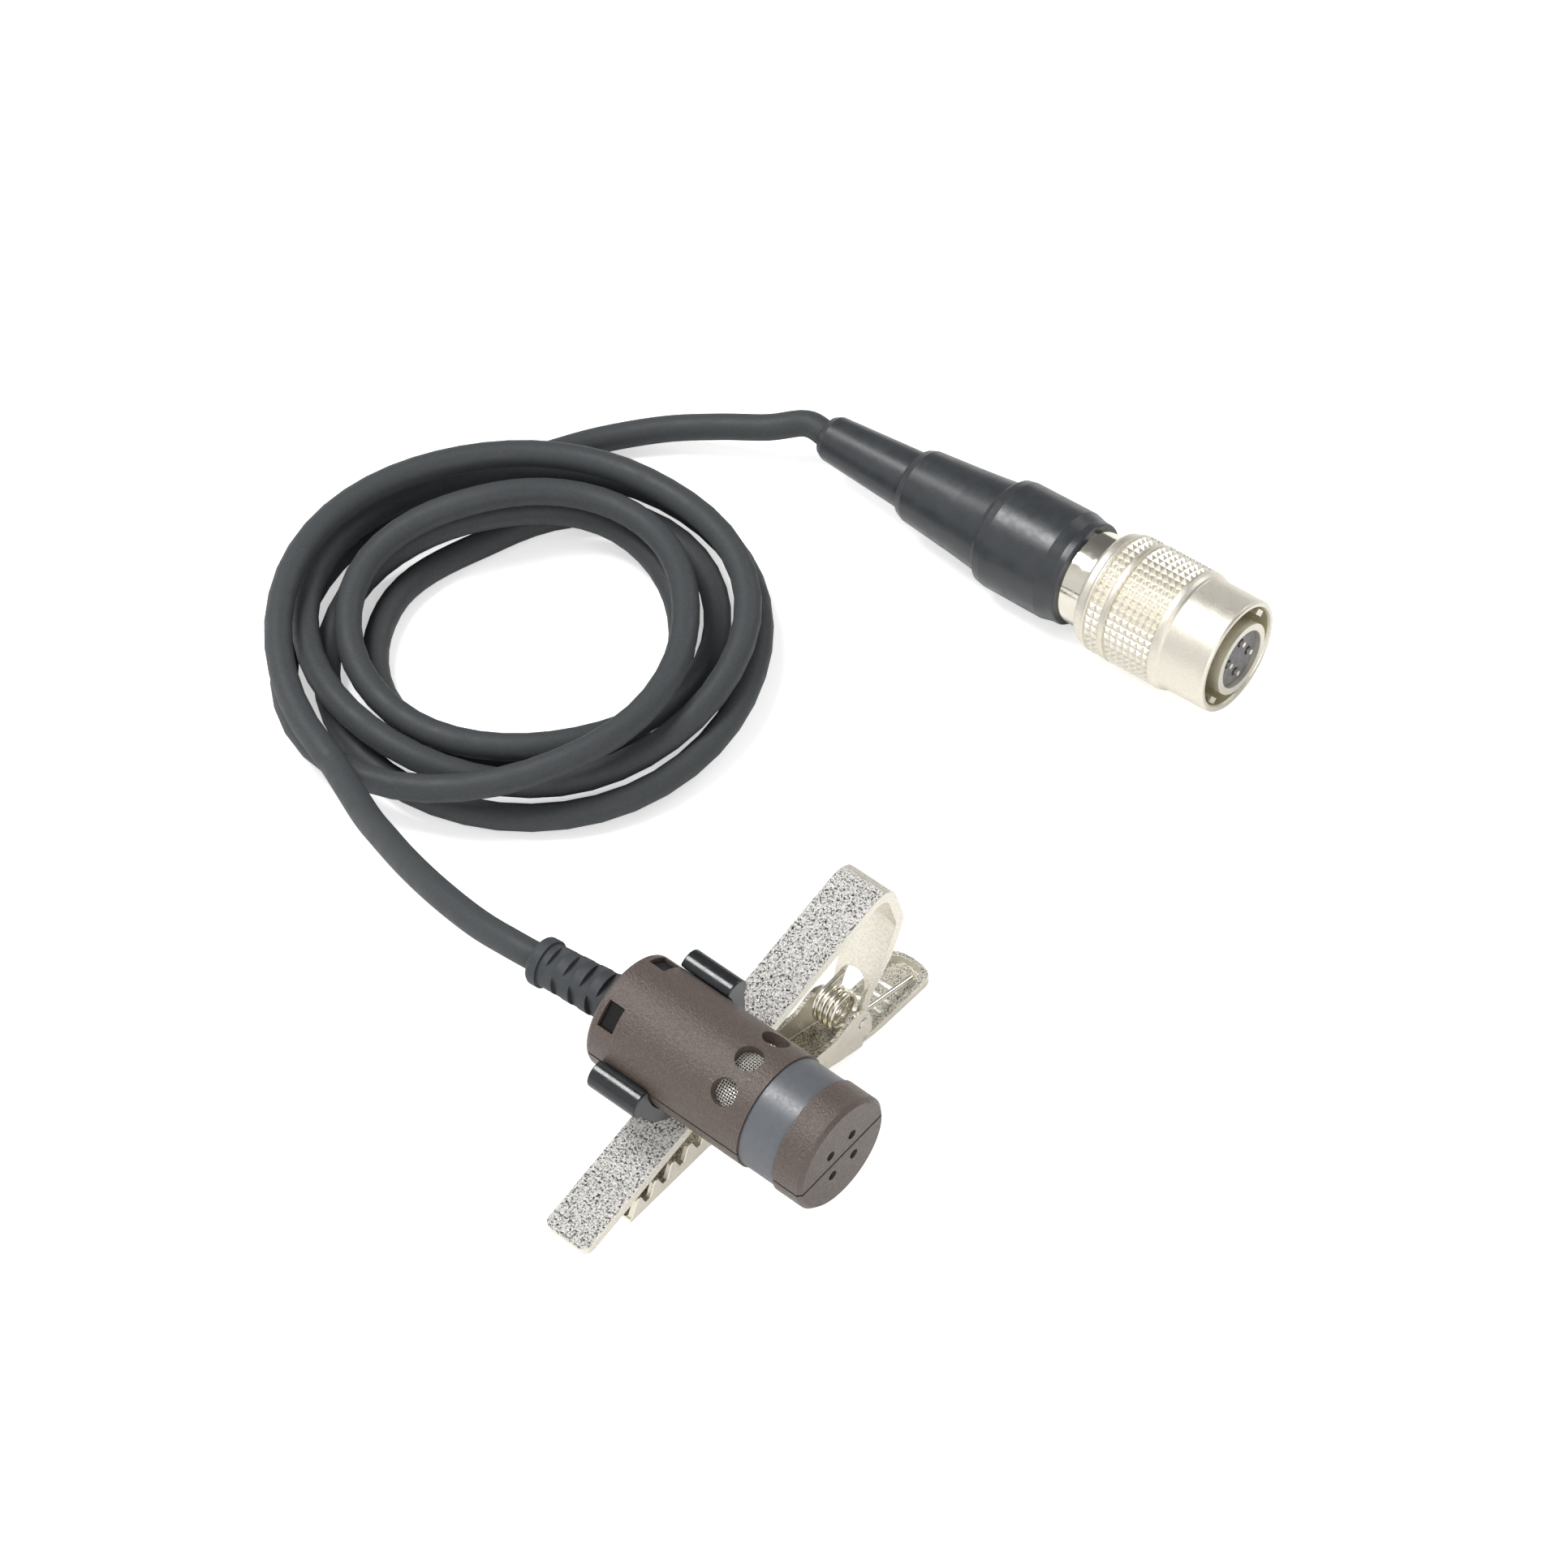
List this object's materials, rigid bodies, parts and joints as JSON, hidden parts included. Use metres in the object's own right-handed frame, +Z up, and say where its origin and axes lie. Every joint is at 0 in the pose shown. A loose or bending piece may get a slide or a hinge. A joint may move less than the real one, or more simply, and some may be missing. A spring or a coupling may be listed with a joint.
{
  "type": "lavalier microphone",
  "caption": "Small cylindrical clip-on microphone with a hinged spring clip in a push-fit cradle, a thin cord lying in a coil, and a round plug with a sliding knurled lock sleeve.",
  "frame": {"origin": "On the table surface, under the middle of the box round the microphone, its strain relief and the clip, leaving out the cord and what is on it.", "axes": "+X along the microphone from the strain relief to the face, +Y along the clip from the jaw tips to the thumb pad, +Z up."},
  "size_m": [0.0875, 0.0914, 0.0232],
  "materials": {
    "barrel_plastic": "fine moulded grain, brown-grey",
    "band_plastic": "smooth dark grey, bare",
    "mesh_steel": "fine woven wire",
    "capsule_metal": "drawn sheet",
    "capsule_plastic": "natural film and cup",
    "board_green": "glass-epoxy board",
    "relief_rubber": "dull charcoal",
    "wire_red": "thin insulation",
    "ferrule_brass": "plain turned",
    "cord_jacket": "dull charcoal jacket",
    "holder_black": "glossy black with flat grey rod ends",
    "clip_nickel": "satin nickel with a frosted grain on top",
    "spring_steel": "bright drawn wire",
    "boot_rubber": "black moulded rubber",
    "plug_polished": "polished nickel",
    "plug_satin": "satin nickel with two pyramid-knurled bands",
    "insulator_black": "dark grey moulding",
    "contact_silver": "bright plated"
  },
  "bodies": {
    "microphone": {"upper_shell": "barrel_plastic", "lower_shell": "barrel_plastic", "id_band": "band_plastic", "front_mesh": "mesh_steel", "port_mesh": "mesh_steel", "capsule_can": "capsule_metal", "diaphragm": "capsule_metal", "spacer_ring": "capsule_plastic", "back_plate": "capsule_metal", "capsule_insulator": "capsule_plastic", "capsule_board": "board_green", "capsule_gasket": "relief_rubber", "lead_wires": "wire_red", "cable_ferrule": "ferrule_brass", "cable_entry": "cord_jacket", "mic_relief": "relief_rubber", "cable_mic_side": "cord_jacket", "cable_coil": "cord_jacket", "cable_plug_side": "cord_jacket", "plug_boot": "boot_rubber", "back_shell": "plug_polished", "cable_clamp": "capsule_metal", "cable_tail": "cord_jacket", "plug_wires": "wire_red", "plug_barrel": "plug_polished", "plug_insulator": "insulator_black", "contact_pins": "contact_silver", "lock_claws": "plug_polished", "sleeve_spring": "spring_steel"},
    "clip_frame": {"clip_holder": "holder_black", "holder_rivet": "clip_nickel", "clip_top_jaw": "clip_nickel", "clip_spring": "spring_steel"},
    "lower_jaw": {"clip_lower_jaw": "clip_nickel"},
    "coupling": {"coupling_sleeve": "plug_satin"}
  },
  "joints": [
    {"name": "holder_turn", "type": "hinge", "parent": "microphone", "child": "clip_frame", "pos_m": [-0.00205, -0.00738, 0.01798], "axis": [1, 0, 0], "continuous": true},
    {"name": "jaw_open", "type": "hinge", "parent": "clip_frame", "child": "lower_jaw", "pos_m": [-0.0008, 0.01253, 0.0036], "axis": [1, 0, 0], "range_deg": [0, 40], "stiffness_Nm_per_rad": 0.03, "springref_deg": -40.11, "deforming": ["clip_spring"]},
    {"name": "sleeve_slide", "type": "slide", "parent": "microphone", "child": "coupling", "axis": [-0.9988, -0.0349, -0.0349], "range_m": [0, 0.001], "stiffness_N_per_m": 500, "springref_m": -0.002, "deforming": ["sleeve_spring"]}
  ]
}
